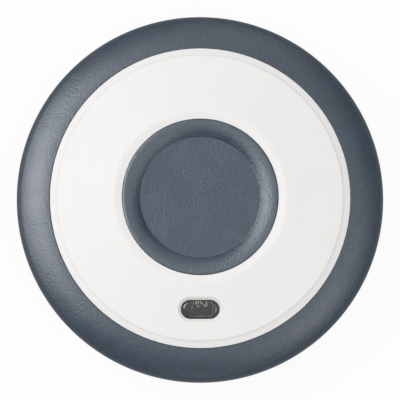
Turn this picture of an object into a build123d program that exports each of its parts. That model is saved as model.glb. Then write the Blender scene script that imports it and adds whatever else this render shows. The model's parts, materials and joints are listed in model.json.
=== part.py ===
from build123d import *
from math import cos, radians, sin
import os

# A round panic button worn on a strap, clip or cord. A thumb dish sits in a pale ring, and a
# soft dark grip wraps the edge. Sizes are millimetres and angles are degrees. The origin is the
# centre of the flat back, +Z points out of the pressed face, and the status window lies at -Y.

os.makedirs("parts", exist_ok=True)

# Coin cell and its door
cell_diameter = 20.0
cell_height = 3.2
cell_clearance = 0.15
can_wall = 0.25
cap_inset = 1.2
cap_step = 0.2
door_recess = 0.1
door_floor = 1.3
door_flange = 0.9
door_flange_overlap = 0.55
door_neck_wall = 0.9
door_seal_section = 0.8
door_clearance = 0.1
running_clearance = 0.05
ledge_thickness = 0.7
tab_thickness = 0.7
tab_reach = 0.8
tab_arc = 36.0
tab_stop_clearance = 1.0
door_turn = 45.0
tab_count = 3
coin_slot_length = 14.0
coin_slot_width = 1.6
coin_slot_depth = 0.7

# Rear housing
rear_floor = 1.4
cell_collar_wall = 0.3
boss_length = 2.0
boss_chamfer = 0.3
rear_edge_round = 0.2
mouth_chamfer = 0.12
boss_wall = 0.9
shoulder_width = 1.1
parting_height = 4.8
parting_gap = 0.1
tongue_wall = 0.65
tongue_height = 1.2
gasket_section = 0.6
mark_diameter = 0.9
mark_depth = 0.15

# Screws
screw_count = 3
screw_first_angle = 90.0
screw_shank_diameter = 1.8
screw_length = 7.4
screw_tip_length = 0.8
screw_head_diameter = 2.9
screw_head_height = 1.0
screw_head_sink = 0.15
screw_cross_width = 0.45
screw_cross_length = 1.7
screw_cross_depth = 0.55
screw_recess_clearance = 0.15
screw_hole_clearance = 0.15
screw_web = 0.55
screw_boss_radius = 1.8

# Circuit board and what it carries
contact_gap = 0.7
board_thickness = 1.0
board_clearance = 0.45
contact_strip = 0.2
contact_width = 4.0
contact_foot = 1.4
contact_drop = 1.5
finger_count = 3
finger_width = 1.6
finger_reach = 6.8
finger_flat = 0.9
finger_hub_radius = 2.4
switch_width = 5.2
switch_body_height = 1.5
switch_cover_sheet = 0.2
switch_base_floor = 0.4
switch_cavity_diameter = 4.2
dome_diameter = 3.9
dome_spare_rise = 0.15
dome_sheet = 0.1
plunger_flange_diameter = 3.6
plunger_flange_thickness = 0.35
plunger_diameter = 2.4
plunger_spare_rise = 0.4
seat_gap = 0.02
lead_width = 0.7
lead_spacing = 3.6
lead_foot = 0.9
lead_sheet = 0.2
lead_height = 0.6
led_length = 2.0
led_width = 1.3
led_height = 0.8
led_lens_height = 0.3
chip_width = 4.0
chip_height = 0.9
crystal_length = 3.2
crystal_width = 2.5
crystal_height = 0.8
reservoir_length = 3.5
reservoir_width = 2.8
reservoir_height = 1.9
passive_length = 1.6
passive_width = 0.8
passive_height = 0.7
antenna_wire = 0.6
antenna_inset = 2.1
antenna_rise = 1.7
antenna_start_angle = -14.0
antenna_arc = 88.0

# Button
press_travel = 0.3
nub_length = 1.4
nub_diameter = 3.2
island_diameter = 11.2
island_thickness = 1.0
pad_thickness = 0.85
pad_rim_depth = 0.5
dish_floor_diameter = 13.1
dish_depth = 0.73
lip_width = 0.28
lip_sink = 0.12
lip_edge_sink = 0.06
bond_width = 1.25
bond_thickness = 0.6
membrane_rise = 0.6
skirt_neck_width = 0.55

# Face, window and grip
well_diameter = 17.0
edge_bevel_width = 0.85
edge_bevel_drop = 0.2
crown_round = 0.7
face_thickness = 1.4
face_drop = 1.5
step_width = 0.22
step_drop = 0.2
step_round = 0.3
band_width = 0.61
band_drop = 0.33
face_edge_round = 0.08
window_length = 4.2
window_width = 2.05
window_inset = 3.65
window_clearance = 0.03
window_sink = 0.2
window_bevel = 0.32
window_edge_round = 0.08
window_collar_wall = 0.8
window_collar_drop = 0.5
light_pipe_flange = 0.6
light_pipe_gap = 0.2
grip_band = 3.7
grip_thickness = 1.0
grip_sink = 0.06
grip_shoulder_width = 0.66
grip_shoulder_drop = 1.2
grip_turn_height = 1.3
grip_taper = 0.45
grip_lower_round = 0.35
flange_wall = 1.35
shell_fit = 0.05
shoulder_inset = 2.25

# The switch's dome and plunger stand taller than the button travels
dome_rise = press_travel + dome_spare_rise
plunger_rise = press_travel + plunger_spare_rise

# Heights, stacked from the back to the face
cell_bottom = door_recess + door_floor
cell_top = cell_bottom + cell_height
board_bottom = cell_top + contact_gap
board_top = board_bottom + board_thickness
switch_top = board_top + switch_body_height
plunger_top = switch_top + plunger_rise
island_bottom = plunger_top + nub_length
island_top = island_bottom + island_thickness
dish_floor = island_top + pad_thickness
crown = dish_floor + dish_depth
flange_top = door_recess + door_flange
ledge_bottom = flange_top + door_seal_section + running_clearance
ledge_top = ledge_bottom + ledge_thickness
tab_bottom = ledge_top + running_clearance
tab_top = tab_bottom + tab_thickness
tongue_top = parting_height + tongue_height
gasket_top = parting_height + gasket_section
grip_bottom = parting_height + parting_gap

# Radii, stacked from the cell out to the grip
cell_radius = cell_diameter / 2
neck_inner_radius = cell_radius + cell_clearance
neck_radius = neck_inner_radius + door_neck_wall
tab_radius = neck_radius + tab_reach
track_radius = tab_radius + cell_clearance
seal_bore_radius = neck_radius + door_seal_section + running_clearance
door_radius = seal_bore_radius + door_flange_overlap
door_bore_radius = door_radius + door_clearance
cell_collar_radius = door_bore_radius + cell_collar_wall
screw_recess_radius = screw_head_diameter / 2 + screw_recess_clearance
screw_circle = door_bore_radius + screw_web + screw_recess_radius
board_radius = screw_circle + screw_boss_radius
tongue_inner_radius = board_radius + board_clearance
tongue_radius = tongue_inner_radius + tongue_wall
front_bore_radius = tongue_radius + shell_fit
flange_radius = front_bore_radius + flange_wall
grip_radius = flange_radius + grip_thickness
face_radius = grip_radius - grip_band
step_radius = face_radius - band_width - step_width
boss_radius = screw_circle + screw_recess_radius + boss_wall
column_radius = screw_boss_radius + board_clearance + tongue_wall / 2
well_radius = well_diameter / 2
crown_radius = well_radius + edge_bevel_width
dish_floor_radius = dish_floor_diameter / 2
window_offset = well_radius + window_inset

# The face is a cone with a small step and a band outside it. The grip falls gently from the band
# to its shoulder, turns down to its widest line and then draws in a little.
face_slope = face_drop / (step_radius - crown_radius)
step_height = crown - face_drop
face_edge = step_height - step_drop - band_drop
grip_top = face_edge - grip_sink
grip_shoulder_radius = grip_radius - grip_shoulder_width
grip_shoulder_height = grip_top - grip_shoulder_drop
grip_mid_height = grip_shoulder_height - grip_turn_height
grip_lower_radius = grip_radius - grip_taper


def face_height(radius):
    """Height of the pale face's cone at a radius."""
    return crown - face_slope * (radius - crown_radius)


def upright_plane(angle):
    """Plane through the axis whose x runs outwards at an angle and whose y runs up."""
    turn = radians(angle)
    return Plane(origin=(0, 0, 0), x_dir=(cos(turn), sin(turn), 0), z_dir=(sin(turn), -cos(turn), 0))


def ring_sector(inner, outer, start, arc):
    """Draws part of a ring in the sketch being built."""
    with BuildLine() as outline:
        outer_edge = CenterArc((0, 0), outer, start, arc)
        inner_edge = CenterArc((0, 0), inner, start, arc)
        Line(outer_edge @ 0, inner_edge @ 0)
        Line(outer_edge @ 1, inner_edge @ 1)
    make_face(outline.edges())


def turn(*points, mode=Mode.ADD):
    """Revolves an outline of (radius, height) points about the axis of the part being built."""
    with BuildSketch(Plane.XZ) as outline:
        with BuildLine():
            Polyline(*points, close=True)
        make_face()
    revolve(outline.sketch, axis=Axis.Z, mode=mode)


def rise(bottom, top, mode=Mode.ADD):
    """Extrudes the sketches drawn at one height up to another."""
    extrude(amount=top - bottom, mode=mode)


def seal_ring(inner_radius, bottom, section):
    """Adds a round seal that lies on a level and grips a radius."""
    with BuildSketch(Plane.XZ) as outline:
        with Locations((inner_radius + section / 2, bottom + section / 2)):
            Circle(section / 2)
    revolve(outline.sketch, axis=Axis.Z)


# Room inside the pale front shell, with its screw bosses and window collar left standing
window_collar_bottom = face_height(window_offset) - face_thickness - window_collar_drop
shoulder_radius = front_bore_radius - shoulder_inset
with BuildPart() as front_room:
    turn(
        (0, 0),
        (front_bore_radius + gasket_section, 0),
        (front_bore_radius + gasket_section, gasket_top),
        (front_bore_radius, gasket_top),
        (front_bore_radius, tongue_top + grip_thickness / 2),
        (shoulder_radius, face_height(shoulder_radius) - face_thickness),
        (well_radius, face_height(well_radius) - face_thickness),
        (0, face_height(well_radius) - face_thickness),
    )
    with BuildSketch(Plane.XY.offset(board_top)):
        with PolarLocations(screw_circle, screw_count, screw_first_angle):
            Circle(screw_boss_radius)
    rise(board_top, crown, mode=Mode.SUBTRACT)
    with BuildSketch(Plane.XY.offset(window_collar_bottom)):
        with Locations((0, -window_offset)):
            SlotOverall(window_length + 2 * window_collar_wall, window_width + 2 * window_collar_wall)
    rise(window_collar_bottom, crown, mode=Mode.SUBTRACT)

# Pale front shell: conical face with a bevelled inner edge, and a step and a band round the outside
with BuildPart() as front_housing:
    with BuildSketch(Plane.XZ) as shell_outline:
        with BuildLine():
            Polyline(
                (well_radius, crown - edge_bevel_drop),
                (crown_radius, crown),
                (step_radius, step_height),
                (step_radius + step_width, step_height - step_drop),
                (face_radius, face_edge),
                (face_radius, grip_top - grip_thickness),
                (flange_radius, grip_shoulder_height - grip_thickness),
                (flange_radius, grip_bottom),
                (well_radius, grip_bottom),
                close=True,
            )
        make_face()
        step_corners = shell_outline.vertices().filter_by_position(
            Axis.X, step_radius - step_width, step_radius + 2 * step_width
        )
        edge_corners = shell_outline.vertices().filter_by_position(
            Axis.X, face_radius - step_width, face_radius + step_width
        )
        crown_corner = shell_outline.vertices().sort_by(Axis.Y)[-1]
        fillet(crown_corner, crown_round)
        fillet(step_corners, step_round)
        fillet(edge_corners.sort_by(Axis.Y)[-1], face_edge_round)
    revolve(axis=Axis.Z)
    add(front_room.part, mode=Mode.SUBTRACT)
    with BuildSketch(Plane.XY.offset(window_collar_bottom)):
        with Locations((0, -window_offset)):
            SlotOverall(window_length, window_width)
    rise(window_collar_bottom, crown, mode=Mode.SUBTRACT)
    with BuildSketch(Plane.XY.offset(board_top)):
        with PolarLocations(screw_circle, screw_count, screw_first_angle):
            Circle(screw_shank_diameter / 2)
    screw_top = screw_head_sink + screw_head_height + screw_length
    rise(board_top, screw_top + screw_hole_clearance, mode=Mode.SUBTRACT)
    window_edges = (
        front_housing.edges()
        .filter_by_position(Axis.X, -window_length / 2, window_length / 2)
        .filter_by_position(Axis.Y, -window_offset - window_width, -window_offset + window_width)
        .filter_by_position(Axis.Z, face_height(window_offset + window_width), crown)
    )
    chamfer(window_edges, window_bevel)
front_housing.part.label = "front_housing"
export_step(front_housing.part, "parts/front_housing.step")

# Soft grip moulded round the shell's edge, rounded at its shoulder and tapered below its widest line
with BuildPart() as rim_grip:
    with BuildSketch(Plane.XZ):
        with BuildLine():
            turn_down = TangentArc(
                (grip_radius, grip_mid_height),
                (grip_shoulder_radius, grip_shoulder_height),
                tangent=(0, 1),
            )
            TangentArc(
                (grip_shoulder_radius, grip_shoulder_height),
                (face_radius, grip_top),
                tangent=turn_down % 1,
            )
            Polyline(
                (face_radius, grip_top),
                (face_radius, grip_top - grip_thickness),
                (flange_radius, grip_shoulder_height - grip_thickness),
                (flange_radius, grip_bottom),
                (grip_lower_radius - grip_lower_round, grip_bottom),
            )
            side = TangentArc(
                (grip_radius, grip_mid_height),
                (grip_lower_radius, grip_bottom + grip_lower_round),
                tangent=(0, -1),
            )
            TangentArc(
                (grip_lower_radius, grip_bottom + grip_lower_round),
                (grip_lower_radius - grip_lower_round, grip_bottom),
                tangent=side % 1,
            )
        make_face()
    revolve(axis=Axis.Z)
rim_grip.part.label = "rim_grip"
export_step(rim_grip.part, "parts/rim_grip.step")

# Soft button: a flat pad that moves, and the flexing wall that joins it to the shell
pad_radius = dish_floor_radius - seat_gap
island_radius = island_diameter / 2
with BuildPart() as button_pad:
    turn(
        (0, island_top),
        (island_radius, island_top),
        (island_radius, island_top - pad_rim_depth),
        (pad_radius, island_top - pad_rim_depth),
        (pad_radius, dish_floor),
        (0, dish_floor),
    )
button_pad.part.label = "button_pad"
export_step(button_pad.part, "parts/button_pad.step")

with BuildPart() as button_island:
    with BuildSketch(Plane.XY.offset(plunger_top)):
        Circle(nub_diameter / 2)
    rise(plunger_top, island_bottom)
    with BuildSketch(Plane.XY.offset(island_bottom)):
        Circle(island_radius)
    rise(island_bottom, island_top)
button_island.part.label = "button_island"
export_step(button_island.part, "parts/button_island.step")

lip_radius = well_radius - lip_width
lip_top = crown - lip_sink
lip_edge = crown - edge_bevel_drop - lip_edge_sink
skirt_neck_radius = well_radius - skirt_neck_width
bond_radius = well_radius + bond_width
bond_bottom = face_height(bond_radius) - face_thickness - bond_thickness
with BuildPart() as button_skirt:
    with BuildSketch(Plane.XZ):
        with BuildLine():
            TangentArc((lip_radius, lip_top), (dish_floor_radius, dish_floor), tangent=(-1, 0))
            TangentArc((lip_radius, lip_top), (well_radius, lip_edge), tangent=(1, 0))
            Polyline(
                (well_radius, lip_edge),
                (well_radius, face_height(well_radius) - face_thickness),
                (bond_radius, face_height(bond_radius) - face_thickness),
                (bond_radius, bond_bottom),
                (skirt_neck_radius, bond_bottom),
                (skirt_neck_radius, island_top + membrane_rise),
                (dish_floor_radius, island_top),
                (dish_floor_radius, dish_floor),
            )
        make_face()
    revolve(axis=Axis.Z)
button_skirt.part.label = "button_skirt"
export_step(button_skirt.part, "parts/button_skirt.step")

# Smoky window that carries the light up from the board
pipe_bottom = board_top + led_height + light_pipe_gap
with BuildPart() as light_pipe:
    with BuildSketch(Plane.XY.offset(pipe_bottom)):
        with Locations((0, -window_offset)):
            SlotOverall(window_length - 2 * window_clearance, window_width - 2 * window_clearance)
    rise(pipe_bottom, crown)
    with BuildSketch(Plane.XY.offset(window_collar_bottom)):
        with Locations((0, -window_offset)):
            SlotOverall(window_length + 2 * light_pipe_flange, window_width + 2 * light_pipe_flange)
    extrude(amount=-light_pipe_flange)
    turn(
        (0, 0),
        (face_radius, 0),
        (face_radius, face_height(face_radius) - window_sink),
        (crown_radius, crown - window_sink),
        (0, crown - window_sink),
        mode=Mode.INTERSECT,
    )
    fillet(light_pipe.faces().sort_by(Axis.Z)[-1].edges(), window_edge_round)
light_pipe.part.label = "light_pipe"
export_step(light_pipe.part, "parts/light_pipe.step")

# Seal between the shells
with BuildPart() as housing_gasket:
    seal_ring(tongue_radius, parting_height, gasket_section)
housing_gasket.part.label = "housing_gasket"
export_step(housing_gasket.part, "parts/housing_gasket.step")

# Round board, drilled for the screws
with BuildPart() as circuit_board:
    with BuildSketch(Plane.XY.offset(board_bottom)):
        Circle(board_radius)
        with PolarLocations(screw_circle, screw_count, screw_first_angle):
            Circle(screw_shank_diameter / 2 + screw_hole_clearance, mode=Mode.SUBTRACT)
    rise(board_bottom, board_top)
circuit_board.part.label = "circuit_board"
export_step(circuit_board.part, "parts/circuit_board.step")

# Press switch in the middle of the board
switch_base_top = switch_top - switch_cover_sheet
dome_bottom = board_top + switch_base_floor
dome_top = dome_bottom + dome_rise
plunger_bottom = dome_top + seat_gap
plunger_step = plunger_bottom + plunger_flange_thickness
with BuildPart() as switch_base:
    with BuildSketch(Plane.XY.offset(board_top)):
        Rectangle(switch_width, switch_width)
    rise(board_top, switch_base_top)
    with BuildSketch(Plane.XY.offset(dome_bottom)):
        Circle(switch_cavity_diameter / 2)
    rise(dome_bottom, switch_base_top, mode=Mode.SUBTRACT)
switch_base.part.label = "switch_base"
export_step(switch_base.part, "parts/switch_base.step")

with BuildPart() as switch_cover:
    with BuildSketch(Plane.XY.offset(switch_base_top)):
        Rectangle(switch_width + 2 * switch_cover_sheet, switch_width)
        Circle(plunger_diameter / 2 + running_clearance, mode=Mode.SUBTRACT)
    rise(switch_base_top, switch_top)
    with BuildSketch(Plane.XY.offset(dome_bottom)):
        with GridLocations(switch_width + switch_cover_sheet, 0, 2, 1):
            Rectangle(switch_cover_sheet, switch_width - 2 * lead_width)
    rise(dome_bottom, switch_base_top)
switch_cover.part.label = "switch_cover"
export_step(switch_cover.part, "parts/switch_cover.step")

with BuildPart() as switch_plunger:
    with BuildSketch(Plane.XY.offset(plunger_bottom)):
        Circle(plunger_flange_diameter / 2)
    rise(plunger_bottom, plunger_step)
    with BuildSketch(Plane.XY.offset(plunger_step)):
        Circle(plunger_diameter / 2)
    rise(plunger_step, plunger_top)
switch_plunger.part.label = "switch_plunger"
export_step(switch_plunger.part, "parts/switch_plunger.step")

dome_radius = dome_diameter / 2
with BuildPart() as switch_dome:
    with BuildSketch(Plane.XZ):
        with BuildLine():
            TangentArc((0, dome_top), (dome_radius, dome_bottom), tangent=(1, 0))
            Line((dome_radius, dome_bottom), (dome_radius - 2 * dome_sheet, dome_bottom))
            TangentArc(
                (0, dome_top - dome_sheet),
                (dome_radius - 2 * dome_sheet, dome_bottom),
                tangent=(1, 0),
            )
            Line((0, dome_top - dome_sheet), (0, dome_top))
        make_face()
    revolve(axis=Axis.Z)
switch_dome.part.label = "switch_dome"
export_step(switch_dome.part, "parts/switch_dome.step")

with BuildPart() as switch_terminals:
    with BuildSketch(Plane.XY.offset(board_top)):
        with GridLocations(lead_spacing, switch_width + lead_foot, 2, 2):
            Rectangle(lead_width, lead_foot)
    extrude(amount=lead_sheet)
    with BuildSketch(Plane.XY.offset(board_top)):
        with GridLocations(lead_spacing, switch_width + lead_sheet, 2, 2):
            Rectangle(lead_width, lead_sheet)
    extrude(amount=lead_height)
switch_terminals.part.label = "switch_terminals"
export_step(switch_terminals.part, "parts/switch_terminals.step")

# Parts soldered to the top of the board
with BuildPart() as indicator_led:
    with BuildSketch(Plane.XY.offset(board_top)):
        with Locations((0, -window_offset)):
            Rectangle(led_length, led_width)
    extrude(amount=led_height - led_lens_height)
    with BuildSketch(Plane.XY.offset(board_top + led_height - led_lens_height)):
        with Locations((0, -window_offset)):
            Rectangle(led_width, led_width)
    extrude(amount=led_lens_height, taper=10)
indicator_led.part.label = "indicator_led"
export_step(indicator_led.part, "parts/indicator_led.step")

chip_place = (-8.0, 4.5)
with BuildPart() as radio_chip:
    with BuildSketch(Plane.XY.offset(board_top)):
        with Locations(chip_place):
            Rectangle(chip_width, chip_width)
    extrude(amount=chip_height)
radio_chip.part.label = "radio_chip"
export_step(radio_chip.part, "parts/radio_chip.step")

crystal_place = (-8.0, 0.4)
with BuildPart() as crystal:
    with BuildSketch(Plane.XY.offset(board_top)):
        with Locations(crystal_place):
            RectangleRounded(crystal_length, crystal_width, crystal_width / 6)
    extrude(amount=crystal_height)
crystal.part.label = "crystal"
export_step(crystal.part, "parts/crystal.step")

reservoir_place = (8.2, -2.6)
with BuildPart() as reservoir_capacitor:
    with BuildSketch(Plane.XY.offset(board_top)):
        with Locations(reservoir_place):
            Rectangle(reservoir_width, reservoir_length)
    extrude(amount=reservoir_height)
reservoir_capacitor.part.label = "reservoir_capacitor"
export_step(reservoir_capacitor.part, "parts/reservoir_capacitor.step")

passive_spacing = passive_length + passive_width
left_passives_place = (-7.4, -4.4)
right_passives_place = (6.6, -8.2)
with BuildPart() as passive_parts:
    with BuildSketch(Plane.XY.offset(board_top)):
        with Locations(left_passives_place):
            with GridLocations(passive_spacing, 2 * passive_width, 2, 3):
                Rectangle(passive_length, passive_width)
        with Locations(right_passives_place):
            with GridLocations(passive_spacing, 2 * passive_width, 2, 2):
                Rectangle(passive_length, passive_width)
    extrude(amount=passive_height)
passive_parts.part.label = "passive_parts"
export_step(passive_parts.part, "parts/passive_parts.step")

# Wire aerial: an arc that stands over the board's edge on two legs
antenna_radius = board_radius - antenna_inset
antenna_height = board_top + antenna_rise
with BuildPart() as antenna:
    with BuildSketch(upright_plane(antenna_start_angle)):
        with Locations((antenna_radius, antenna_height)):
            Circle(antenna_wire / 2)
    revolve(axis=Axis.Z, revolution_arc=antenna_arc)
    with BuildSketch(Plane.XY.offset(board_top)):
        with PolarLocations(antenna_radius, 2, antenna_start_angle, antenna_arc, endpoint=True):
            Circle(antenna_wire / 2)
    rise(board_top, antenna_height)
    with PolarLocations(antenna_radius, 2, antenna_start_angle, antenna_arc, endpoint=True):
        with Locations((0, 0, antenna_height)):
            Sphere(antenna_wire / 2)
antenna.part.label = "antenna"
export_step(antenna.part, "parts/antenna.step")

# Contacts under the board
contact_face = cell_radius + seat_gap
with BuildPart() as positive_contacts:
    with BuildSketch(Plane.XZ):
        with BuildLine():
            Polyline(
                (contact_face, board_bottom),
                (contact_face + contact_foot, board_bottom),
                (contact_face + contact_foot, board_bottom - contact_strip),
                (contact_face + contact_strip, board_bottom - contact_strip),
                (contact_face + contact_strip, board_bottom - contact_drop),
                (contact_face, board_bottom - contact_drop),
                close=True,
            )
        make_face()
    extrude(amount=contact_width / 2, both=True)
    mirror(about=Plane.YZ)
positive_contacts.part.label = "positive_contacts"
export_step(positive_contacts.part, "parts/positive_contacts.step")

finger_bottom = cell_top + seat_gap
with BuildPart() as negative_contact:
    with BuildSketch(Plane.XY.offset(board_bottom - contact_strip)):
        Circle(finger_hub_radius)
    extrude(amount=contact_strip)
    for finger in range(finger_count):
        with BuildSketch(upright_plane(finger * 360 / finger_count)):
            with BuildLine():
                Polyline(
                    (finger_hub_radius / 2, board_bottom),
                    (finger_hub_radius, board_bottom),
                    (finger_reach - finger_flat, finger_bottom + contact_strip),
                    (finger_reach, finger_bottom + contact_strip),
                    (finger_reach, finger_bottom),
                    (finger_reach - finger_flat, finger_bottom),
                    (finger_hub_radius, board_bottom - contact_strip),
                    (finger_hub_radius / 2, board_bottom - contact_strip),
                    close=True,
                )
            make_face()
        extrude(amount=finger_width / 2, both=True)
negative_contact.part.label = "negative_contact"
export_step(negative_contact.part, "parts/negative_contact.step")

# Coin cell: can, insulating seal, cap and the pellets between them
cap_radius = cell_radius - cap_inset
can_top = cell_top - cap_step
can_inside = cell_bottom + can_wall
crimp_radius = cap_radius + can_wall
with BuildPart() as battery_can:
    turn(
        (0, cell_bottom),
        (cell_radius, cell_bottom),
        (cell_radius, can_top),
        (crimp_radius, can_top),
        (crimp_radius, can_top - can_wall),
        (cell_radius - can_wall, can_top - can_wall),
        (cell_radius - can_wall, can_inside),
        (0, can_inside),
    )
battery_can.part.label = "battery_can"
export_step(battery_can.part, "parts/battery_can.step")

with BuildPart() as battery_seal:
    turn(
        (cap_radius, can_inside),
        (cell_radius - can_wall, can_inside),
        (cell_radius - can_wall, can_top - can_wall),
        (crimp_radius, can_top - can_wall),
        (crimp_radius, can_top),
        (cap_radius, can_top),
    )
battery_seal.part.label = "battery_seal"
export_step(battery_seal.part, "parts/battery_seal.step")

with BuildPart() as battery_cap:
    turn(
        (0, cell_top),
        (cap_radius, cell_top),
        (cap_radius, can_inside + can_wall),
        (cap_radius - can_wall, can_inside + can_wall),
        (cap_radius - can_wall, cell_top - can_wall),
        (0, cell_top - can_wall),
    )
battery_cap.part.label = "battery_cap"
export_step(battery_cap.part, "parts/battery_cap.step")

with BuildPart() as battery_pellets:
    with BuildSketch(Plane.XY.offset(can_inside)):
        Circle(cap_radius - can_wall)
    rise(can_inside, cell_top - can_wall)
battery_pellets.part.label = "battery_pellets"
export_step(battery_pellets.part, "parts/battery_pellets.step")

# Room inside the rear housing, with the cell's collar and the screw columns left standing
with BuildPart() as rear_room:
    turn(
        (0, rear_floor),
        (tongue_inner_radius - tongue_wall, rear_floor),
        (tongue_inner_radius, rear_floor + boss_length / 2),
        (tongue_inner_radius, tongue_top),
        (0, tongue_top),
    )
    with BuildSketch(Plane.XY.offset(rear_floor)):
        Circle(cell_collar_radius)
        with PolarLocations(screw_circle, screw_count, screw_first_angle):
            Circle(column_radius)
    rise(rear_floor, board_bottom, mode=Mode.SUBTRACT)

# Rear housing: flat back, round boss for a holder, shoulder, side, and the tongue inside the rim
track_start = -door_turn - tab_arc / 2 - tab_stop_clearance
track_arc = door_turn + tab_arc + 2 * tab_stop_clearance
notch_start = track_start
notch_arc = tab_arc + 2 * tab_stop_clearance
mark_place = (boss_radius + door_bore_radius) / 2
with BuildPart() as rear_housing:
    with BuildSketch(Plane.XZ) as rear_outline:
        with BuildLine():
            Polyline(
                (0, tongue_top),
                (0, 0),
                (boss_radius - boss_chamfer, 0),
                (boss_radius, boss_chamfer),
                (boss_radius, boss_length),
                (boss_radius + shoulder_width, boss_length),
            )
            TangentArc(
                (grip_lower_radius - grip_lower_round, parting_height),
                (boss_radius + shoulder_width, boss_length),
                tangent=(0, -1),
            )
            Polyline(
                (grip_lower_radius - grip_lower_round, parting_height),
                (tongue_radius, parting_height),
                (tongue_radius, tongue_top),
                (0, tongue_top),
            )
        make_face()
        outer_corners = rear_outline.vertices().filter_by_position(
            Axis.X, boss_radius + shoulder_width / 2, grip_radius
        )
        fillet(outer_corners.sort_by(Axis.X)[-1], rear_edge_round)
        fillet(outer_corners.sort_by(Axis.Y)[0], rear_edge_round)
    revolve(axis=Axis.Z)
    add(rear_room.part, mode=Mode.SUBTRACT)
    turn(
        (0, 0),
        (door_bore_radius, 0),
        (door_bore_radius, flange_top + running_clearance),
        (seal_bore_radius, flange_top + running_clearance),
        (seal_bore_radius, ledge_bottom),
        (neck_radius + running_clearance, ledge_bottom),
        (neck_radius + running_clearance, tab_top + door_clearance),
        (track_radius, tab_top + door_clearance),
        (track_radius, tongue_top),
        (0, tongue_top),
        mode=Mode.SUBTRACT,
    )
    for tab in range(tab_count):
        tab_angle = tab * 360 / tab_count
        with BuildSketch(Plane.XY.offset(ledge_top)):
            ring_sector(neck_radius, track_radius, track_start + tab_angle, track_arc)
        rise(ledge_top, tab_top + door_clearance, mode=Mode.SUBTRACT)
        with BuildSketch(Plane.XY.offset(ledge_bottom)):
            ring_sector(neck_radius, track_radius, notch_start + tab_angle, notch_arc)
        rise(ledge_bottom, ledge_top, mode=Mode.SUBTRACT)
    with BuildSketch(Plane.XY):
        with PolarLocations(screw_circle, screw_count, screw_first_angle):
            Circle(screw_recess_radius)
    extrude(amount=screw_head_sink + screw_head_height, mode=Mode.SUBTRACT)
    with BuildSketch(Plane.XY):
        with PolarLocations(screw_circle, screw_count, screw_first_angle):
            Circle(screw_shank_diameter / 2 + screw_hole_clearance)
    extrude(amount=board_bottom, mode=Mode.SUBTRACT)
    with BuildSketch(Plane.XY):
        with PolarLocations(mark_place, 2, -door_turn, door_turn, endpoint=True):
            Circle(mark_diameter / 2)
    extrude(amount=mark_depth, mode=Mode.SUBTRACT)
    back_edges = rear_housing.edges().filter_by(GeomType.CIRCLE).group_by(Axis.Z)[0]
    chamfer(
        back_edges.filter_by(lambda edge: abs(edge.radius - screw_recess_radius) < running_clearance),
        mouth_chamfer,
    )
rear_housing.part.label = "rear_housing"
export_step(rear_housing.part, "parts/rear_housing.step")

# Screws that clamp the shells and the board together
with BuildPart() as housing_screws:
    with BuildSketch(Plane.XY.offset(screw_head_sink)):
        with PolarLocations(screw_circle, screw_count, screw_first_angle):
            Circle(screw_head_diameter / 2)
    extrude(amount=screw_head_height)
    with BuildSketch(Plane.XY.offset(screw_head_sink)):
        with PolarLocations(screw_circle, screw_count, screw_first_angle):
            Rectangle(screw_cross_length, screw_cross_width)
            Rectangle(screw_cross_width, screw_cross_length)
    extrude(amount=screw_cross_depth, mode=Mode.SUBTRACT)
    with BuildSketch(Plane.XY.offset(screw_head_sink + screw_head_height)):
        with PolarLocations(screw_circle, screw_count, screw_first_angle):
            Circle(screw_shank_diameter / 2)
    extrude(amount=screw_length - screw_tip_length)
    with BuildSketch(Plane.XY.offset(screw_top - screw_tip_length)):
        with PolarLocations(screw_circle, screw_count, screw_first_angle):
            Circle(screw_shank_diameter / 2)
    extrude(amount=screw_tip_length, taper=25)
housing_screws.part.label = "housing_screws"
export_step(housing_screws.part, "parts/housing_screws.step")

# Door that the coin turns: flange, neck round the cell and the tabs that lock it
with BuildPart() as battery_door:
    turn(
        (0, door_recess),
        (door_radius - door_recess, door_recess),
        (door_radius, 2 * door_recess),
        (door_radius, flange_top),
        (neck_radius, flange_top),
        (neck_radius, tab_top),
        (neck_inner_radius, tab_top),
        (neck_inner_radius, cell_bottom),
        (0, cell_bottom),
    )
    with BuildSketch(Plane.XY.offset(tab_bottom)):
        for tab in range(tab_count):
            ring_sector(
                neck_inner_radius + door_neck_wall / 2,
                tab_radius,
                tab * 360 / tab_count - tab_arc / 2,
                tab_arc,
            )
    rise(tab_bottom, tab_top)
    with BuildSketch(Plane.XY.offset(door_recess)):
        SlotOverall(coin_slot_length, coin_slot_width)
    extrude(amount=coin_slot_depth, mode=Mode.SUBTRACT)
    chamfer(battery_door.faces().sort_by(Axis.Z)[0].inner_wires()[0].edges(), mouth_chamfer)
    with BuildSketch(Plane.XY.offset(door_recess)):
        with Locations(((neck_radius + neck_inner_radius) / 2, 0)):
            Circle(mark_diameter / 2)
    extrude(amount=mark_depth, mode=Mode.SUBTRACT)
battery_door.part.label = "battery_door"
export_step(battery_door.part, "parts/battery_door.step")

with BuildPart() as door_seal:
    seal_ring(neck_radius, flange_top, door_seal_section)
door_seal.part.label = "door_seal"
export_step(door_seal.part, "parts/door_seal.step")

shell_top = front_housing.part.bounding_box().max.Z
print("grip diameter", round(2 * grip_radius, 2), "height", round(shell_top, 2))
print("holder boss diameter", round(2 * boss_radius, 2), "length", boss_length - boss_chamfer)
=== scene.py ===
import json
from math import atan2, cos, pi, radians, sin

import bpy
from mathutils import Matrix, Vector


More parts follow.
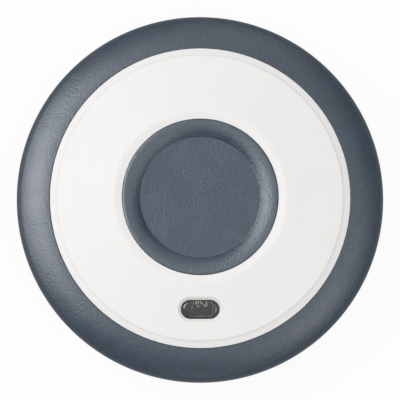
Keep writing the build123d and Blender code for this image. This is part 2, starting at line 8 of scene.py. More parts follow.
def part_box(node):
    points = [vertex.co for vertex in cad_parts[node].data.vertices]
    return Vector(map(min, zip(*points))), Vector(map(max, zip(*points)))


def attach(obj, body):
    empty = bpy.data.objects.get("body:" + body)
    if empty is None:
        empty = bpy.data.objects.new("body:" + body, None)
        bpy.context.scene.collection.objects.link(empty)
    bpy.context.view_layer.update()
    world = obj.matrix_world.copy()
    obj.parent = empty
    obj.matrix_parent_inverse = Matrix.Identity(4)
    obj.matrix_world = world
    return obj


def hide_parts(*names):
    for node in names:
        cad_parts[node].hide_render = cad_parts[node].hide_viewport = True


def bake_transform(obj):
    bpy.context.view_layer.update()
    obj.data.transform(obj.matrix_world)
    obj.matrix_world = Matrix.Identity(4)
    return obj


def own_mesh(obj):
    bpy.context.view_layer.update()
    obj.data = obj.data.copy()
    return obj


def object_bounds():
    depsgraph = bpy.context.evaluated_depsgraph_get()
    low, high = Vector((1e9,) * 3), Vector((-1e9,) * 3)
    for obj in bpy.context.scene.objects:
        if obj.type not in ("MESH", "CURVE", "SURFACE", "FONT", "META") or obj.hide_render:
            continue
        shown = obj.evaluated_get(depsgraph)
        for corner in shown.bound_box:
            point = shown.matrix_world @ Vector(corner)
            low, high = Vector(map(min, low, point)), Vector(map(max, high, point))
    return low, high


# Looks of a round panic button that lies on its back on a white table: soft dark dish and grip,
# pale shell, smoky window, and the dark back with its coin-turned door. Named lengths are metres
# and named angles are degrees, where nothing else is said.

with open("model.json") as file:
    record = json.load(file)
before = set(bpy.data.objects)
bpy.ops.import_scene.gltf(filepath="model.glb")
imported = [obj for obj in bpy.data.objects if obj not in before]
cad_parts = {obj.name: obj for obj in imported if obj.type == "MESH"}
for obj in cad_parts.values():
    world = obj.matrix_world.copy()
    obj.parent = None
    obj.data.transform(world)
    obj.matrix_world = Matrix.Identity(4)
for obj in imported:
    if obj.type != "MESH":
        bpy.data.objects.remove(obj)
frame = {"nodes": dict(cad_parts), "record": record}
cad_low, cad_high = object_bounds()

MM = 0.001
LATHE_STEPS = 288
ARC_STEPS = 12
WIRE_SIDES = 8
SHARP_ANGLE = 40.0
# A point of an outline that is nearer to the axis than this lies on it
AXIS_RADIUS = 1e-7


# Shapes

def point_on_arc(centre, radius, angle):
    """Point of a circle in the (radius, height) plane."""
    return Vector((centre.x + radius * cos(angle), centre.y + radius * sin(angle)))


def tangent_arc(start, direction, end, steps=ARC_STEPS):
    """Arc that leaves start in a direction and reaches end: its points and its last direction."""
    chord = end - start
    normal = Vector((-direction.y, direction.x)).normalized()
    signed_radius = chord.length_squared / (2 * chord.dot(normal))
    centre = start + normal * signed_radius
    first = atan2(start.y - centre.y, start.x - centre.x)
    sweep = atan2(end.y - centre.y, end.x - centre.x) - first
    sweep = (sweep + pi) % (2 * pi) - pi
    angles = [first + sweep * i / steps for i in range(steps + 1)]
    points = [point_on_arc(centre, abs(signed_radius), angle) for angle in angles]
    side = 1 if sweep > 0 else -1
    last = end - centre
    return points, Vector((-last.y, last.x)).normalized() * side


def round_corner(before, corner, after, radius):
    """Points of the arc that rounds a corner."""
    back = (before - corner).normalized()
    ahead = (after - corner).normalized()
    half_angle = back.angle(ahead) / 2
    reach = radius * cos(half_angle) / sin(half_angle)
    return tangent_arc(corner + back * reach, -back, corner + ahead * reach)[0]


def mesh_piece(name, vertices, faces):
    """Makes an object from vertices and faces, smooth but for its sharp edges."""
    mesh = bpy.data.meshes.new(name)
    mesh.from_pydata(vertices, [], faces)
    mesh.shade_smooth()
    mesh.set_sharp_from_angle(angle=radians(SHARP_ANGLE))
    mesh.update()
    piece = bpy.data.objects.new(name, mesh)
    bpy.context.scene.collection.objects.link(piece)
    return piece


def stack(name, loops):
    """Joins loops of equal numbers of points into a solid, closed by a face at each end."""
    count = len(loops[0])
    vertices = [point for loop in loops for point in loop]
    faces = [list(range(count))[::-1]]
    for level in range(len(loops) - 1):
        start = level * count
        for i in range(count):
            after = (i + 1) % count
            faces.append([start + i, start + after, start + count + after, start + count + i])
    faces.append([(len(loops) - 1) * count + i for i in range(count)])
    return mesh_piece(name, vertices, faces)


def tube(path, radius):
    """Loops of points round a path that is nowhere upright, for a thin wire."""
    turns = [2 * pi * i / WIRE_SIDES for i in range(WIRE_SIDES)]
    loops = []
    for i, point in enumerate(path):
        ahead = (path[min(i + 1, len(path) - 1)] - path[max(i - 1, 0)]).normalized()
        across = ahead.cross(Vector((0, 0, 1))).normalized()
        above = across.cross(ahead)
        loops.append([point + (across * cos(turn) + above * sin(turn)) * radius for turn in turns])
    return loops


def lathe(name, outline):
    """Revolves a closed outline of (radius, height) points about the upright axis."""
    vertices = []
    rings = []
    for point in outline:
        first = len(vertices)
        if point.x < AXIS_RADIUS:
            vertices.append((0, 0, point.y))
            rings.append([first] * LATHE_STEPS)
            continue
        for step in range(LATHE_STEPS):
            angle = 2 * pi * step / LATHE_STEPS
            vertices.append((point.x * cos(angle), point.x * sin(angle), point.y))
        rings.append(list(range(first, first + LATHE_STEPS)))
    faces = []
    for lower, upper in zip(rings, rings[1:] + rings[:1]):
        for step in range(LATHE_STEPS):
            after = (step + 1) % LATHE_STEPS
            corners = [lower[step], lower[after], upper[after], upper[step]]
            face = list(dict.fromkeys(corners))
            if len(face) > 2:
                faces.append(face)
    return mesh_piece(name, vertices, faces)


# Nodes of the materials

WHITE = (1, 1, 1, 1)
# Range that most of a noise's values lie in
NOISE_RANGE = (0.3, 0.7)
# Places of the colour sockets in a mix node
MIX_SHARE = 0
MIX_FIRST = 6
MIX_SECOND = 7
MIX_RESULT = 2


def new_material():
    """Empty material with its tree and its surface shader."""
    material = bpy.data.materials.new("finish")
    material.use_nodes = True
    tree = material.node_tree
    return material, tree, tree.nodes["Principled BSDF"]


def fill(tree, node, values):
    """Fills a node's inputs with numbers, or links them to sockets."""
    for key, value in values.items():
        if isinstance(value, bpy.types.NodeSocket):
            tree.links.new(value, node.inputs[key])
        else:
            node.inputs[key].default_value = value


def put(tree, kind, values, **settings):
    """Adds a node, sets it and fills its inputs."""
    node = tree.nodes.new(kind)
    for key, value in settings.items():
        setattr(node, key, value)
    fill(tree, node, values)
    return node


def calculate(tree, operation, first, second):
    """Result of an operation on two numbers or sockets."""
    return put(tree, "ShaderNodeMath", {0: first, 1: second}, operation=operation).outputs[0]


def vector_math(tree, operation, *vectors):
    """Node for an operation on vectors."""
    return put(tree, "ShaderNodeVectorMath", dict(enumerate(vectors)), operation=operation)


def place_on_piece(tree, scale):
    """Scaled place that is fixed to the piece."""
    place = put(tree, "ShaderNodeTexCoord", {}).outputs["Object"]
    return put(tree, "ShaderNodeMapping", {"Vector": place, "Scale": scale}).outputs[0]


def noise(tree, size, detail=3.0, stretch=(1, 1, 1)):
    """Cloudy pattern whose patches are about a size across."""
    place = place_on_piece(tree, [s / size for s in stretch])
    pattern = put(tree, "ShaderNodeTexNoise", {"Vector": place, "Scale": 1.0, "Detail": detail})
    return pattern.outputs["Fac"]


def span(tree, pattern, source, target=(0.0, 1.0), **settings):
    """Maps a pattern's values from one range onto another."""
    values = {
        "Value": pattern,
        "From Min": source[0],
        "From Max": source[1],
        "To Min": target[0],
        "To Max": target[1],
    }
    return put(tree, "ShaderNodeMapRange", values, **settings).outputs[0]


def times(colour, factor):
    """Opaque colour that is brighter or darker by a factor."""
    return [min(1.0, c * factor) for c in colour] + [1.0]


def mix_colours(tree, share, first, second):
    """Colour that goes from the first to the second with a share."""
    values = {MIX_SHARE: share, MIX_FIRST: first, MIX_SECOND: second}
    return put(tree, "ShaderNodeMix", values, data_type="RGBA").outputs[MIX_RESULT]


def shade(tree, colour, share, pattern):
    """Colour that varies by a share of itself with a pattern."""
    return mix_colours(tree, pattern, times(colour, 1 - share), times(colour, 1 + share))


def bump(tree, height, depth, normal=None):
    """Surface normal raised by a pattern, whose full height is a depth."""
    values = {"Height": height, "Strength": 1.0, "Distance": depth}
    if normal is not None:
        values["Normal"] = normal
    return put(tree, "ShaderNodeBump", values).outputs[0]


# Soft rubber of the grip and the dish

GRIP_COLOUR = (0.009, 0.0245, 0.045)
GRIP_GRAIN_DEPTH = 0.0235 * MM
DISH_COLOUR = (0.0075, 0.025, 0.0475)
DISH_GRAIN_DEPTH = 0.038 * MM
PEBBLE_SIZE = 0.22 * MM
PEBBLE_BEND = 0.55
PEBBLE_BEND_SCALE = 0.6
PEBBLE_SMOOTHNESS = 0.6
PEBBLE_RANGE = (0.4, 0.6)
PEBBLE_SHARE = (0.45, 1.0)
FINE_GRAIN_SIZE = 0.2 * MM
FINE_GRAIN_SHARE = 0.3
FINE_GRAIN_SHADE = 0.6
PATCH_SIZE = 3.0 * MM
PATCH_PALENESS = 1.5
PATCH_RANGE = (0.35, 0.7)
PATCH_SHARE = (0.0, 0.12)
SPECK_SIZE = 0.3 * MM
SPECK_PALENESS = 2.6
SPECK_RANGE = (0.74, 0.8)
SPECK_SHARE = (0.0, 0.35)
RUBBER_ROUGHNESS = (0.4, 0.46)
RUBBER_GLOSS = 0.72
# Painted highlight on the dish's lip: how much paler it is painted, and the radii over which it comes in
LIP_HIGHLIGHT_PALENESS = 0.026
LIP_HIGHLIGHT_RADII = (7.0 * MM, 8.1 * MM)


def pebbles(tree):
    """Pattern of small rounded cells, bent by cloudy noise."""
    place = place_on_piece(tree, [1 / PEBBLE_SIZE] * 3)
    values = {"Vector": place, "Scale": PEBBLE_BEND_SCALE, "Detail": 2.0}
    clouds = put(tree, "ShaderNodeTexNoise", values).outputs["Color"]
    bent = vector_math(tree, "MULTIPLY_ADD", clouds, [PEBBLE_BEND] * 3, place).outputs[0]
    values = {"Vector": bent, "Scale": 1.0, "Smoothness": PEBBLE_SMOOTHNESS}
    return put(tree, "ShaderNodeTexVoronoi", values, feature="SMOOTH_F1").outputs["Distance"]


def lip_highlight_share(tree):
    """Share of the painted highlight, from none on the dish's wall to full on its lip."""
    place = put(tree, "ShaderNodeTexCoord", {}).outputs["Object"]
    sideways = vector_math(tree, "MULTIPLY", place, (1, 1, 0)).outputs[0]
    radius = vector_math(tree, "LENGTH", sideways).outputs["Value"]
    return span(tree, radius, LIP_HIGHLIGHT_RADII)


def soft_rubber(colour, grain_depth, lip_highlight=False):
    """Satin moulded rubber with a leather grain, a few pale specks and, where asked, a painted highlight
    that makes the lip paler.
    """
    material, tree, shader = new_material()
    fine = noise(tree, FINE_GRAIN_SIZE, detail=2.0)
    patches = noise(tree, PATCH_SIZE)
    specks = span(tree, noise(tree, SPECK_SIZE, detail=1.0), SPECK_RANGE, SPECK_SHARE)

    finish = shade(tree, colour, FINE_GRAIN_SHADE, span(tree, fine, NOISE_RANGE))
    patch_share = span(tree, patches, PATCH_RANGE, PATCH_SHARE)
    finish = mix_colours(tree, patch_share, finish, times(colour, PATCH_PALENESS))
    finish = mix_colours(tree, specks, finish, times(colour, SPECK_PALENESS))
    # Painted highlight: the top of the dish's wall and its lip are painted paler, more so at larger radii
    if lip_highlight:
        pale = [c + LIP_HIGHLIGHT_PALENESS for c in colour] + [1.0]
        finish = mix_colours(tree, lip_highlight_share(tree), finish, pale)

    pebble_share = span(tree, patches, PEBBLE_RANGE, PEBBLE_SHARE)
    worn = calculate(tree, "MULTIPLY", pebbles(tree), pebble_share)
    coarse_normal = bump(tree, worn, -grain_depth)
    values = {
        "Base Color": finish,
        "Roughness": span(tree, patches, NOISE_RANGE, RUBBER_ROUGHNESS),
        "Specular IOR Level": RUBBER_GLOSS,
        "Normal": bump(tree, fine, grain_depth * FINE_GRAIN_SHARE, coarse_normal),
    }
    fill(tree, shader, values)
    return material


# Moulded plastic

PLASTIC_CLOUD_SIZE = 6 * MM
PLASTIC_ROUGHNESS_SPREAD = 0.04
PLASTIC_GLOSS = 0.2


def moulded_plastic(colour, roughness, grain_size=0.1 * MM, grain_depth=0.003 * MM, variation=0.1):
    """Moulded plastic with a fine eroded grain and a faint cloudiness."""
    material, tree, shader = new_material()
    grain = noise(tree, grain_size, detail=2.0)
    clouds = noise(tree, PLASTIC_CLOUD_SIZE)
    rough_range = (roughness - PLASTIC_ROUGHNESS_SPREAD, roughness + PLASTIC_ROUGHNESS_SPREAD)
    values = {
        "Base Color": shade(tree, colour, variation, clouds),
        "Roughness": span(tree, clouds, NOISE_RANGE, rough_range),
        "Specular IOR Level": PLASTIC_GLOSS,
        "Normal": bump(tree, grain, grain_depth),
    }
    fill(tree, shader, values)
    return material


# Bright metal

BRUSH_SIZE = 0.5 * MM
BRUSH_STRETCH = (1, 12, 1)
BRUSH_DEPTH = 0.004 * MM
STAIN_SIZE = 2.5 * MM
STAIN_SHADE = 0.08
METAL_ROUGHNESS_SPREAD = 0.07


def plated_metal(colour, roughness):
    """Bright metal with fine brushed lines and slight stains."""
    material, tree, shader = new_material()
    lines = noise(tree, BRUSH_SIZE, stretch=BRUSH_STRETCH)
    stains = noise(tree, STAIN_SIZE, detail=4.0)
    rough_range = (roughness - METAL_ROUGHNESS_SPREAD, roughness + METAL_ROUGHNESS_SPREAD)
    values = {
        "Base Color": shade(tree, colour, STAIN_SHADE, stains),
        "Metallic": 1.0,
        "Roughness": span(tree, lines, NOISE_RANGE, rough_range),
        "Normal": bump(tree, lines, BRUSH_DEPTH),
    }
    fill(tree, shader, values)
    return material


# Smoky clear plastic of the window

HAZE_SIZE = 1.2 * MM
HAZE_SHADE = 0.06
GLASS_ROUGHNESS = (0.04, 0.08)
GLASS_CLEARNESS = 0.95
GLASS_REFRACTION = 1.49


def smoky_glass(colour, smoke, density):
    """Clear smoke-tinted plastic with a faint flow haze, darker the deeper it is looked into."""
    material, tree, shader = new_material()
    haze = noise(tree, HAZE_SIZE, detail=2.0)
    values = {
        "Base Color": shade(tree, colour, HAZE_SHADE, haze),
        "Roughness": span(tree, haze, NOISE_RANGE, GLASS_ROUGHNESS),
        "Transmission Weight": GLASS_CLEARNESS,
        "IOR": GLASS_REFRACTION,
    }
    fill(tree, shader, values)
    absorption = put(tree, "ShaderNodeVolumeAbsorption", {"Color": (*smoke, 1.0), "Density": density})
    fill(tree, tree.nodes["Material Output"], {"Volume": absorption.outputs[0]})
    return material


# Circuit board

TRACK_SIZE = 1.1 * MM
TRACK_RANGE = (0.5, 0.56)
TRACK_DEPTH = 0.02 * MM
TRACK_PALENESS = 1.9
WEAVE_SIZE = 0.25 * MM
WEAVE_SHADE = 0.12
LACQUER_ROUGHNESS = (0.25, 0.38)


def board_laminate(colour):
    """Green lacquered board with faint copper tracks under the lacquer."""
    material, tree, shader = new_material()
    place = place_on_piece(tree, [1 / TRACK_SIZE] * 3)
    values = {"Vector": place, "Scale": 1.0}
    cells = put(tree, "ShaderNodeTexVoronoi", values, feature="F1", distance="MANHATTAN")
    tracks = span(tree, cells.outputs["Distance"], TRACK_RANGE)
    weave = noise(tree, WEAVE_SIZE, detail=2.0)
    lacquer = shade(tree, colour, WEAVE_SHADE, weave)
    values = {
        "Base Color": mix_colours(tree, tracks, lacquer, times(colour, TRACK_PALENESS)),
        "Roughness": span(tree, weave, NOISE_RANGE, LACQUER_ROUGHNESS),
        "Normal": bump(tree, tracks, TRACK_DEPTH),
    }
    fill(tree, shader, values)
    return material


# Finish of each of the record's slots

MATERIALS = {
    "pale_shell": moulded_plastic(
        (0.815, 0.8, 0.785), 0.62, grain_size=0.12 * MM, grain_depth=0.001 * MM, variation=0.01
    ),
    "soft_grip": soft_rubber(GRIP_COLOUR, GRIP_GRAIN_DEPTH),
    # The dish's lip carries a painted highlight
    "soft_button": soft_rubber(DISH_COLOUR, DISH_GRAIN_DEPTH, lip_highlight=True),
    "dark_plastic": moulded_plastic((0.03, 0.03, 0.032), 0.45),
    "smoky_window": smoky_glass((0.8, 0.79, 0.76), smoke=(0.5, 0.49, 0.46), density=800.0),
    "seal_rubber": moulded_plastic(
        (0.02, 0.02, 0.02), 0.6, grain_size=0.15 * MM, grain_depth=0.004 * MM, variation=0.15
    ),
    "circuit_laminate": board_laminate((0.02, 0.13, 0.055)),
    "switch_plunger_plastic": moulded_plastic((0.02, 0.02, 0.02), 0.4, grain_depth=0.002 * MM),
    "tinned_metal": plated_metal((0.72, 0.72, 0.7), 0.32),
    "led_package": moulded_plastic((0.85, 0.84, 0.8), 0.3, grain_depth=0.001 * MM, variation=0.03),
    "chip_package": moulded_plastic(
        (0.025, 0.025, 0.027), 0.55, grain_size=0.06 * MM, grain_depth=0.004 * MM, variation=0.2
    ),
    "capacitor_package": moulded_plastic((0.65, 0.38, 0.06), 0.5, variation=0.08),
    "passive_package": moulded_plastic((0.32, 0.24, 0.17), 0.5, grain_size=0.08 * MM),
    "aerial_wire": plated_metal((0.72, 0.45, 0.25), 0.25),
    "contact_metal": plated_metal((0.75, 0.6, 0.32), 0.28),
    "cell_steel": plated_metal((0.7, 0.7, 0.69), 0.3),
    "cell_seal": moulded_plastic((0.2, 0.2, 0.19), 0.35, grain_depth=0.001 * MM, variation=0.05),
    "cell_pellet": moulded_plastic(
        (0.04, 0.04, 0.04), 0.8, grain_size=0.06 * MM, grain_depth=0.01 * MM, variation=0.3
    ),
    "rear_shell": moulded_plastic(
        (0.06, 0.067, 0.075), 0.52, grain_size=0.14 * MM, grain_depth=0.006 * MM, variation=0.06
    ),
    "screw_steel": plated_metal((0.55, 0.55, 0.55), 0.35),
}
for slot, material in MATERIALS.items():
    material.name = slot


def dress(piece, slot):
    """Gives a piece the finish of one of the record's slots."""
    piece.data.materials.clear()
    piece.data.materials.append(MATERIALS[slot])


# Switch


def flatten_dome():
    """Gives the switch's snap dome a mesh of its own."""
    dome = frame["nodes"]["switch_dome"]
    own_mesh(dome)


# Grip

GRIP_INNER_RADIUS = 16.3 * MM
GRIP_SHOULDER_WIDTH = 0.66 * MM
GRIP_SHOULDER_DROP = 1.2 * MM
GRIP_TURN_HEIGHT = 1.3 * MM
GRIP_TAPER = 0.45 * MM
GRIP_THICKNESS = 1.0 * MM
GRIP_EDGE_ROUND = 0.1 * MM
GRIP_LOWER_ROUND = 0.35 * MM
GRIP_CORE_RADIUS = 19.05 * MM


def build_grip():
    """Soft grip: a thick skin with a rounded shoulder and a rounded edge above and below."""
    low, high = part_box("rim_grip")
    top = high.z
    inner_top = Vector((GRIP_INNER_RADIUS, top))
    inner_bottom = Vector((GRIP_INNER_RADIUS, top - GRIP_THICKNESS))
    shoulder = Vector((high.x - GRIP_SHOULDER_WIDTH, top - GRIP_SHOULDER_DROP))
    widest = Vector((high.x, shoulder.y - GRIP_TURN_HEIGHT))
    lower = Vector((high.x - GRIP_TAPER, low.z + GRIP_LOWER_ROUND))
    turn, direction = tangent_arc(widest, Vector((0, 1)), shoulder, 2 * ARC_STEPS)
    crest = tangent_arc(shoulder, direction, inner_top, 2 * ARC_STEPS)[0]
    side, direction = tangent_arc(widest, Vector((0, -1)), lower)
    heel = tangent_arc(lower, direction, Vector((lower.x - GRIP_LOWER_ROUND, low.z)))[0]
    inner_edge = round_corner(crest[-2], inner_top, inner_bottom, GRIP_EDGE_ROUND)
    skin = heel[::-1] + side[::-1][1:] + turn[1:] + crest[1:-1] + inner_edge
    core = [
        inner_bottom,
        Vector((GRIP_CORE_RADIUS, shoulder.y - GRIP_THICKNESS)),
        Vector((GRIP_CORE_RADIUS, low.z)),
    ]
    grip = lathe("grip_skin", skin + core)
    dress(grip, "soft_grip")
    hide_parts("rim_grip")
    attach(grip, "housing")


# Thumb dish

DISH_FLOOR_RINGS = 8
LIP_RADIUS = 8.22 * MM
DISH_CREASE_ROUND = 0.12 * MM
DISH_EDGE_RADIUS = 8.48 * MM
DISH_EDGE_SINK = 0.14 * MM
DISH_EDGE_ROUND = 0.05 * MM
DISH_SKIRT_DEPTH = 0.55 * MM
DISH_NECK_RADIUS = 7.95 * MM
ANCHOR_GAP = 0.3 * MM
ANCHOR_FLANGE = 0.6 * MM


def build_dish():
    """Thumb dish: one rubber skin from the pressed floor up the wall and over the lip."""
    pad_low, pad_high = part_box("button_pad")
    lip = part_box("button_skirt")[1].z
    island_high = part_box("button_island")[1]
    floor = pad_high.z
    edge = lip - DISH_EDGE_SINK
    foot = Vector((pad_high.x, floor))
    crest = Vector((LIP_RADIUS, lip))
    wall = tangent_arc(crest, Vector((-1, 0)), foot, 4 * ARC_STEPS)[0][::-1]
    crease = round_corner(Vector((0, floor)), foot, wall[1], DISH_CREASE_ROUND)
    wall = [point for point in wall if point.x > crease[-1].x]
    edge_corner = Vector((DISH_EDGE_RADIUS, edge))
    outer_foot = Vector((DISH_EDGE_RADIUS, edge - DISH_SKIRT_DEPTH))
    fall = tangent_arc(crest, Vector((1, 0)), edge_corner)[0]
    rim = round_corner(fall[-2], edge_corner, outer_foot, DISH_EDGE_ROUND)
    fall = [point for point in fall[1:] if point.x < rim[0].x]
    underside = [
        outer_foot,
        Vector((DISH_NECK_RADIUS, outer_foot.y)),
        Vector((pad_high.x, island_high.z)),
        Vector((pad_high.x, pad_low.z)),
        Vector((island_high.x, pad_low.z)),
        Vector((island_high.x, island_high.z)),
        Vector((0, island_high.z)),
    ]
    rings = [Vector((crease[0].x * i / DISH_FLOOR_RINGS, floor)) for i in range(DISH_FLOOR_RINGS)]
    dish = lathe("dish_skin", rings + crease + wall + fall + rim + underside)
    dress(dish, "soft_button")
    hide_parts("button_pad", "button_skirt")
    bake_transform(dish)
    build_dish_anchor(outer_foot.y - ANCHOR_GAP)


def build_dish_anchor(top):
    """Flanged ring under the shell, below the dish's edge."""
    skirt_low, skirt_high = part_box("button_skirt")
    outline = [
        Vector((DISH_NECK_RADIUS, skirt_low.z)),
        Vector((skirt_high.x, skirt_low.z)),
        Vector((skirt_high.x, skirt_low.z + ANCHOR_FLANGE)),
        Vector((DISH_EDGE_RADIUS, top)),
        Vector((DISH_NECK_RADIUS, top)),
    ]
    anchor = lathe("dish_anchor", outline)
    dress(anchor, "soft_button")
    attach(anchor, "housing")


# Status window

window_low, window_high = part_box("light_pipe")
window_middle_y = (window_low.y + window_high.y) / 2

WINDOW_LENGTH = 4.14 * MM
WINDOW_WIDTH = 1.99 * MM
# Both the width and the thickness of the flange
WINDOW_FLANGE = 0.6 * MM
WINDOW_FLANGE_SINK = 1.95 * MM
WINDOW_SLOPE = 0.245
PILLOW_RADIUS = 0.55 * MM
PILLOW_EDGE_ANGLE = 65.0
PILLOW_FLAT_INSET = WINDOW_WIDTH * 0.48
INLAY_SINK = 0.3 * MM
WIRE_RADIUS = 0.04 * MM
LENS_EDGE_WIRE_RADIUS = 0.014 * MM

# Wires and a moulded lens's edge inside the window, in millimetres from the window's middle
WIRES = [
    [(-0.43, 0.9), (-0.42, 0.55), (-0.36, 0.38), (-0.21, 0.26), (-0.07, 0.44)],
    [(-0.21, 0.9), (-0.2, 0.6)],
    [(0.05, 0.9), (0.07, 0.66), (0.24, 0.62), (0.4, 0.51), (0.53, 0.28), (0.67, 0.44), (0.68, 0.88)],
]
LENS_EDGE_X = 0.25
LENS_EDGE_Y = 0.05
LENS_EDGE_RADIUS = 1.16
LENS_EDGE_ARCS = [(-45, 40), (145, 195)]


def flat(height):
    """Height that is the same all over the window."""
    return lambda y: height


def sloping(drop):
    """Height that follows the slope of the shell's face, a drop below the window's top."""
    upper_y = window_high.y - WINDOW_FLANGE
    return lambda y: window_high.z - drop - WINDOW_SLOPE * (upper_y - y)


def stadium(inset, height_at):
    """Slot-shaped loop of the window, drawn in by an inset, at heights given by a function."""
    radius = WINDOW_WIDTH / 2 - inset
    reach = (WINDOW_LENGTH - WINDOW_WIDTH) / 2
    loop = []
    for side in (1, -1):
        for i in range(2 * ARC_STEPS + 1):
            angle = pi * i / (2 * ARC_STEPS) - pi / 2
            x = side * (reach + radius * cos(angle))
            y = window_middle_y + side * radius * sin(angle)
            loop.append(Vector((x, y, height_at(y))))
    return loop


def build_window():
    """Status window: a flanged smoky pipe with a pillowed top that follows the sloping face."""
    flange_top = window_high.z - WINDOW_FLANGE_SINK
    flange_bottom = flange_top - WINDOW_FLANGE
    loops = [
        stadium(0, flat(window_low.z)),
        stadium(0, flat(flange_bottom)),
        stadium(-WINDOW_FLANGE, flat(flange_bottom)),
        stadium(-WINDOW_FLANGE, flat(flange_top)),
        stadium(0, flat(flange_top)),
    ]
    edge = radians(PILLOW_EDGE_ANGLE)
    for i in range(ARC_STEPS + 1):
        angle = edge * (1 - i / ARC_STEPS)
        inset = PILLOW_RADIUS * (sin(edge) - sin(angle))
        loops.append(stadium(inset, sloping(PILLOW_RADIUS * (1 - cos(angle)))))
    loops.append(stadium(PILLOW_FLAT_INSET, sloping(0)))
    lens = stack("window_lens", loops)
    dress(lens, "smoky_window")
    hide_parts("light_pipe")
    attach(lens, "housing")


def lens_edge(first, last):
    """Points of the moulded lens's edge between two angles."""
    angles = [radians(first + (last - first) * i / ARC_STEPS) for i in range(ARC_STEPS + 1)]
    return [
        (LENS_EDGE_X + LENS_EDGE_RADIUS * cos(angle), LENS_EDGE_Y + LENS_EDGE_RADIUS * sin(angle))
        for angle in angles
    ]


def inlay_place(x, y):
    """Place under the window's top, for millimetres from the window's middle."""
    place_y = window_middle_y + y * MM
    return Vector((x * MM, place_y, sloping(INLAY_SINK)(place_y)))


def build_window_wires():
    """Fine wires and the edge of a moulded lens, which show through the window."""
    strands = [(points, WIRE_RADIUS) for points in WIRES]
    strands += [(lens_edge(*arc), LENS_EDGE_WIRE_RADIUS) for arc in LENS_EDGE_ARCS]
    for number, (points, radius) in enumerate(strands):
        path = [inlay_place(x, y) for x, y in points]
        wire = stack(f"window_wire_{number}", tube(path, radius))
        dress(wire, "led_package")
        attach(wire, "housing")


# White table

FLOOR_GAP = 0.01 * MM
FLOOR_HALF_WIDTH = 1.5
FLOOR_COLOUR = (0.9, 0.9, 0.9, 1)
FLOOR_GLOSS_COLOUR = (0.32, 0.32, 0.32, 1)
FLOOR_ROUGHNESS = 0.9
FLOOR_WHITE_SHARE = 0.92
FLOOR_GLEAM_SHARE = 0.4


def white_share(tree, rays):
    """How much of the table shows as plain white to the camera, and in gloss and glass."""
    mirrored = calculate(tree, "MAXIMUM", rays["Is Glossy Ray"], rays["Is Transmission Ray"])
    gleam = calculate(tree, "MULTIPLY", mirrored, FLOOR_GLEAM_SHARE)
    seen = calculate(tree, "MULTIPLY", rays["Is Camera Ray"], FLOOR_WHITE_SHARE)
    return calculate(tree, "MAXIMUM", gleam, seen)


def table_white():
    """Matt white that keeps a soft share of the object's shadow, and is darker in gloss."""
    material, tree, shader = new_material()
    material.name = "floor_white"
    rays = put(tree, "ShaderNodeLightPath", {}).outputs
    colour = mix_colours(tree, rays["Is Glossy Ray"], FLOOR_COLOUR, FLOOR_GLOSS_COLOUR)
    values = {"Base Color": colour, "Roughness": FLOOR_ROUGHNESS, "Specular IOR Level": 0.0}
    fill(tree, shader, values)
    glow = put(tree, "ShaderNodeEmission", {"Color": WHITE, "Strength": 1.0})
    values = {0: white_share(tree, rays), 1: shader.outputs[0], 2: glow.outputs[0]}
    mix = put(tree, "ShaderNodeMixShader", values)
    fill(tree, tree.nodes["Material Output"], {"Surface": mix.outputs[0]})
    return material


def build_floor():
    """White table top, a hair below the object."""
    half = FLOOR_HALF_WIDTH
    height = cad_low.z - FLOOR_GAP
    corners = [(-half, -half, height), (half, -half, height), (half, half, height), (-half, half, height)]
    mesh = bpy.data.meshes.new("floor")
    mesh.from_pydata(corners, [], [(0, 1, 2, 3)])
    mesh.materials.append(table_white())
    floor = bpy.data.objects.new("floor", mesh)
    bpy.context.scene.collection.objects.link(floor)


# Sky: a level of 1 is white, and heights go from 0 at the horizon to 1 at the sky's tilted top

SKY_TILT = Vector((-0.05, 0.28, 1.0)).normalized()
SKY_HEIGHTS = (0.45, 0.92)
SKY_LEVELS = (0.38, 1.02)


def build_sky():
    """Pale surroundings, brightest overhead and greyer towards the sides."""
    world = bpy.data.worlds.new("sky")
    bpy.context.scene.world = world
    world.use_nodes = True
    tree = world.node_tree
    direction = put(tree, "ShaderNodeTexCoord", {}).outputs["Generated"]
    height = vector_math(tree, "DOT_PRODUCT", direction, SKY_TILT).outputs["Value"]
    brightness = span(tree, height, SKY_HEIGHTS, SKY_LEVELS, interpolation_type="SMOOTHSTEP")
    fill(tree, tree.nodes["Background"], {"Color": WHITE, "Strength": brightness})


# Lights

LIGHT_DISTANCE = 0.5


def softbox(name, azimuth, elevation, size, brightness):
    """Square soft light of a brightness, where 1 is white, that the camera itself doesn't see."""
    a = radians(azimuth)
    e = radians(elevation)
    place = Vector((cos(a) * cos(e), sin(a) * cos(e), sin(e))) * LIGHT_DISTANCE
    lamp = bpy.data.lights.new(name, "AREA")
    lamp.shape = "SQUARE"
    lamp.size = size
    lamp.energy = brightness * pi * size * size
    light = bpy.data.objects.new(name, lamp)
    light.location = place
    light.rotation_euler = place.to_track_quat("Z", "Y").to_euler()
    light.visible_camera = False
    bpy.context.scene.collection.objects.link(light)
    return light


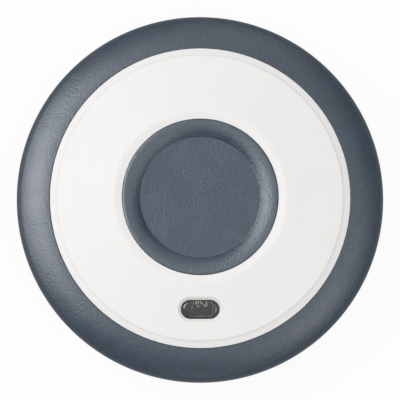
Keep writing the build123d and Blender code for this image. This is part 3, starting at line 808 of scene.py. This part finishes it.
def build_lights():
    """Key light and fill light, and gleams that show in gloss and glass but light nothing matt."""
    softbox("key_light", azimuth=166, elevation=45, size=0.26, brightness=4.0)
    softbox("fill_light", azimuth=-45, elevation=45, size=0.26, brightness=2.3)
    gleams = [
        softbox("left_gleam", azimuth=170, elevation=42, size=0.52, brightness=4.5),
        softbox("right_gleam", azimuth=-25, elevation=50, size=0.4, brightness=1.3),
        softbox("back_gleam", azimuth=75, elevation=32, size=0.3, brightness=1.35),
        softbox("front_gleam", azimuth=-90, elevation=20, size=0.12, brightness=2.8),
    ]
    for gleam in gleams:
        gleam.visible_diffuse = False


# Camera: the grip's diameter spans GRIP_PIXELS of the picture's FRAME_PIXELS. The sensor's width
# and the lens's length are millimetres

GRIP_PIXELS = 366.5
FRAME_PIXELS = 400
CAMERA_ELEVATION = 86.15
CAMERA_AZIMUTH = -6.0
CAMERA_AIM_Y = -0.055 * MM
CAMERA_DISTANCE = 0.5
CAMERA_CLIP_START = 0.01
CAMERA_CLIP_END = 10.0
SENSOR_WIDTH = 36.0


def build_camera():
    """Long lens from almost straight above, a little towards the window's side."""
    data = bpy.data.cameras.new("camera")
    data.sensor_width = SENSOR_WIDTH
    grip_low, grip_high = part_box("rim_grip")
    seen_width = (grip_high.x - grip_low.x) * FRAME_PIXELS / GRIP_PIXELS
    data.lens = SENSOR_WIDTH * CAMERA_DISTANCE / seen_width
    data.clip_start = CAMERA_CLIP_START
    data.clip_end = CAMERA_CLIP_END
    camera = bpy.data.objects.new("camera", data)
    elevation = radians(CAMERA_ELEVATION)
    azimuth = radians(CAMERA_AZIMUTH)
    back = Vector((sin(azimuth) * cos(elevation), -cos(azimuth) * cos(elevation), sin(elevation)))
    widest = grip_high.z - GRIP_SHOULDER_DROP - GRIP_TURN_HEIGHT
    camera.location = Vector((0, CAMERA_AIM_Y, widest)) + back * CAMERA_DISTANCE
    right = Vector((0, 1, 0)).cross(back).normalized()
    camera.rotation_euler = Matrix((right, back.cross(right), back)).transposed().to_euler()
    bpy.context.scene.collection.objects.link(camera)
    bpy.context.scene.camera = camera


for subpart in frame["record"]["subparts"]:
    dress(frame["nodes"][subpart["node"]], subpart["material_slot"])
flatten_dome()
build_grip()
build_dish()
build_window()
build_window_wires()
build_floor()
build_sky()
build_lights()
build_camera()
bpy.context.scene.view_settings.view_transform = "Standard"
